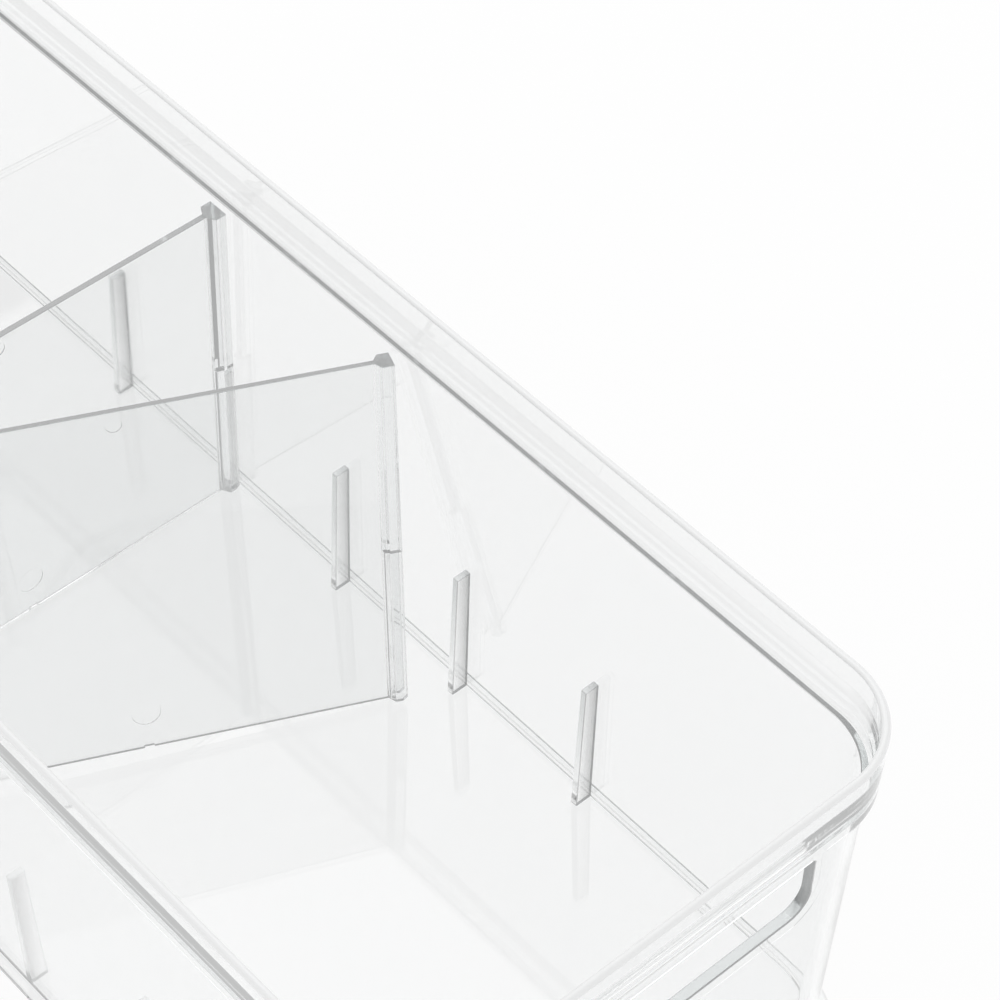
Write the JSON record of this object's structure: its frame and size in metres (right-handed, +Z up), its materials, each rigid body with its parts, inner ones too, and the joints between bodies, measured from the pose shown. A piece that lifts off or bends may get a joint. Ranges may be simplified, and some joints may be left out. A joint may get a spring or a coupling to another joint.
{
  "type": "storage tray with dividers",
  "caption": "Clear open-top storage tray with rounded corners, an upright collar, ribbed long walls, end finger slots and lift-out divider plates.",
  "frame": {"origin": "middle of the tray's underside", "axes": "+X along the tray towards the end that the picture shows, +Y across it, +Z up"},
  "size_m": [0.4082, 0.1602, 0.1262],
  "materials": {
    "tray_plastic": "clear, polished inside and out",
    "divider_plastic": "clear, polished"
  },
  "bodies": {
    "tray": {"tray": "tray_plastic"},
    "seated_divider": {"seated_divider": "divider_plastic"},
    "loose_divider": {"loose_divider": "divider_plastic"}
  },
  "joints": [
    {"name": "lift_seated_divider", "type": "slide", "parent": "tray", "child": "seated_divider", "axis": [0, 0, 1], "range_m": [0, 0.14]},
    {"name": "lift_loose_divider", "type": "slide", "parent": "tray", "child": "loose_divider", "axis": [0, 0, 1], "range_m": [0, 0.14]}
  ]
}
